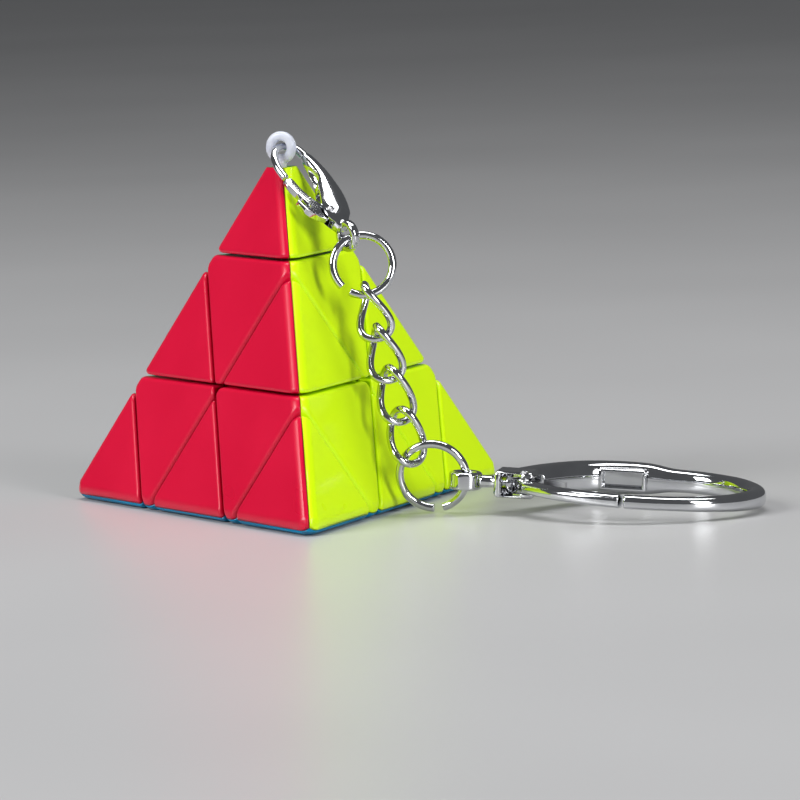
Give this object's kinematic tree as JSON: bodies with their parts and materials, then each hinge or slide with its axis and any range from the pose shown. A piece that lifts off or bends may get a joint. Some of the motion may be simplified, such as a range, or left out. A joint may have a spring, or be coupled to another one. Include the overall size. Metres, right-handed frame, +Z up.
{
  "type": "pyramid twisty puzzle keychain",
  "caption": "Small three-layer pyramid twisty puzzle in red, yellow-green, blue and green plastic, with an eyelet, clasp, rings, curb chain and snap hook in chrome.",
  "frame": {"origin": "under the middle of the whole object's box, on the surface that the puzzle stands on", "axes": "+Z up; +X from the puzzle towards the tip of the snap hook, along the object's length; -Y is the side that shows the red and yellow-green faces"},
  "size_m": [0.0708, 0.0406, 0.0366],
  "materials": {
    "red_plastic": "satin",
    "yellow_plastic": "satin",
    "blue_plastic": "satin",
    "green_plastic": "satin",
    "core_plastic": "matte",
    "steel": "zinc plated",
    "nylon": "milky, translucent",
    "chrome": "polished, nickel plated"
  },
  "bodies": {
    "puzzle": {"centre_apex_red": "red_plastic", "centre_apex_yellow": "yellow_plastic", "centre_apex_green": "green_plastic", "screw_apex": "steel", "spring_apex": "steel", "centre_front_red": "red_plastic", "centre_front_yellow": "yellow_plastic", "centre_front_blue": "blue_plastic", "screw_front": "steel", "spring_front": "steel", "centre_right_yellow": "yellow_plastic", "centre_right_blue": "blue_plastic", "centre_right_green": "green_plastic", "screw_right": "steel", "spring_right": "steel", "screw_left": "steel", "spring_left": "steel", "edge_apex_front_red": "red_plastic", "edge_apex_front_yellow": "yellow_plastic", "edge_apex_right_yellow": "yellow_plastic", "edge_apex_right_green": "green_plastic", "edge_front_right_yellow": "yellow_plastic", "edge_front_right_blue": "blue_plastic", "core": "core_plastic", "eyelet": "nylon"},
    "left_layer": {"centre_left_red": "red_plastic", "centre_left_blue": "blue_plastic", "centre_left_green": "green_plastic", "edge_apex_left_red": "red_plastic", "edge_apex_left_green": "green_plastic", "edge_front_left_red": "red_plastic", "edge_front_left_blue": "blue_plastic", "edge_right_left_blue": "blue_plastic", "edge_right_left_green": "green_plastic"},
    "tip_apex": {"tip_apex_red": "red_plastic", "tip_apex_yellow": "yellow_plastic", "tip_apex_green": "green_plastic"},
    "tip_front": {"tip_front_red": "red_plastic", "tip_front_yellow": "yellow_plastic", "tip_front_blue": "blue_plastic"},
    "tip_right": {"tip_right_yellow": "yellow_plastic", "tip_right_blue": "blue_plastic", "tip_right_green": "green_plastic"},
    "tip_left": {"tip_left_red": "red_plastic", "tip_left_blue": "blue_plastic", "tip_left_green": "green_plastic"},
    "clasp": {"clasp_body": "chrome", "clasp_pin": "chrome"},
    "clasp_lever": {"clasp_lever": "chrome"},
    "upper_ring": {"upper_ring": "chrome"},
    "chain_link_1": {"chain_link_1": "chrome"},
    "chain_link_2": {"chain_link_2": "chrome"},
    "chain_link_3": {"chain_link_3": "chrome"},
    "chain_link_4": {"chain_link_4": "chrome"},
    "lower_ring": {"lower_ring": "chrome"},
    "hook_eye": {"hook_eye": "chrome"},
    "hook_body": {"hook_body": "chrome", "hook_pin": "steel", "hook_spring": "steel"},
    "hook_gate": {"hook_gate": "chrome"}
  },
  "joints": [
    {"name": "apex_tip_turn", "type": "hinge", "parent": "puzzle", "child": "tip_apex", "pos_m": [-0.01217, 0.00292, 0.00919], "axis": [0, 0, 1], "continuous": true},
    {"name": "front_tip_turn", "type": "hinge", "parent": "puzzle", "child": "tip_front", "pos_m": [-0.01217, 0.00292, 0.00919], "axis": [0.244, -0.9107, -0.3333], "continuous": true},
    {"name": "right_tip_turn", "type": "hinge", "parent": "puzzle", "child": "tip_right", "pos_m": [-0.01217, 0.00292, 0.00919], "axis": [0.6667, 0.6667, -0.3333], "continuous": true},
    {"name": "left_layer_turn", "type": "hinge", "parent": "puzzle", "child": "left_layer", "pos_m": [-0.01217, 0.00292, 0.00919], "axis": [-0.9107, 0.244, -0.3333], "continuous": true},
    {"name": "left_tip_turn", "type": "hinge", "parent": "left_layer", "child": "tip_left", "pos_m": [-0.01217, 0.00292, 0.00919], "axis": [-0.9107, 0.244, -0.3333], "continuous": true},
    {"name": "clasp_swing", "type": "hinge", "parent": "puzzle", "child": "clasp", "pos_m": [-0.01217, 0.00292, 0.035], "axis": [-0.6924, -0.7177, -0.0738], "range_deg": [0, 12]},
    {"name": "clasp_lever_press", "type": "hinge", "parent": "clasp", "child": "clasp_lever", "pos_m": [-0.00692, -0.00129, 0.02873], "axis": [-0.4553, 0.514, -0.727], "range_deg": [0, 20], "stiffness_Nm_per_rad": 0.0005, "springref_deg": -5.73},
    {"name": "upper_ring_swing", "type": "hinge", "parent": "clasp", "child": "upper_ring", "pos_m": [-0.00416, -0.00289, 0.02587], "axis": [0.4553, -0.514, 0.727], "range_deg": [0, 15]},
    {"name": "link_1_swing", "type": "hinge", "parent": "upper_ring", "child": "chain_link_1", "pos_m": [-0.00304, -0.00294, 0.02107], "axis": [-0.9427, -0.3225, -0.0858], "range_deg": [0, 15]},
    {"name": "link_2_swing", "type": "hinge", "parent": "chain_link_1", "child": "chain_link_2", "pos_m": [-0.00188, -0.00368, 0.01689], "axis": [-0.926, -0.321, -0.1985], "range_deg": [0, 15]},
    {"name": "link_3_swing", "type": "hinge", "parent": "chain_link_2", "child": "chain_link_3", "pos_m": [-0.00079, -0.00439, 0.01291], "axis": [-0.8467, -0.5127, -0.1425], "range_deg": [0, 15]},
    {"name": "link_4_swing", "type": "hinge", "parent": "chain_link_3", "child": "chain_link_4", "pos_m": [0.00031, -0.00509, 0.00894], "axis": [-0.7282, -0.6806, -0.0799], "range_deg": [0, 15]},
    {"name": "lower_ring_swing", "type": "hinge", "parent": "chain_link_4", "child": "lower_ring", "pos_m": [0.0014, -0.0058, 0.00498], "axis": [-0.5762, -0.8172, -0.0136], "range_deg": [0, 5]},
    {"name": "hook_eye_swing", "type": "hinge", "parent": "lower_ring", "child": "hook_eye", "pos_m": [0.00643, -0.00508, 0.00368], "axis": [0, 0, 1], "range_deg": [-20, 20]},
    {"name": "hook_swivel", "type": "hinge", "parent": "hook_eye", "child": "hook_body", "pos_m": [0.00633, -0.00508, 0.00325], "axis": [0.9976, 0, -0.0698], "continuous": true},
    {"name": "gate_open", "type": "hinge", "parent": "hook_body", "child": "hook_gate", "pos_m": [0.01221, -0.00628, 0.00284], "axis": [0.0698, 0, 0.9976], "range_deg": [0, 25], "stiffness_Nm_per_rad": 0.002, "springref_deg": -5.73}
  ]
}
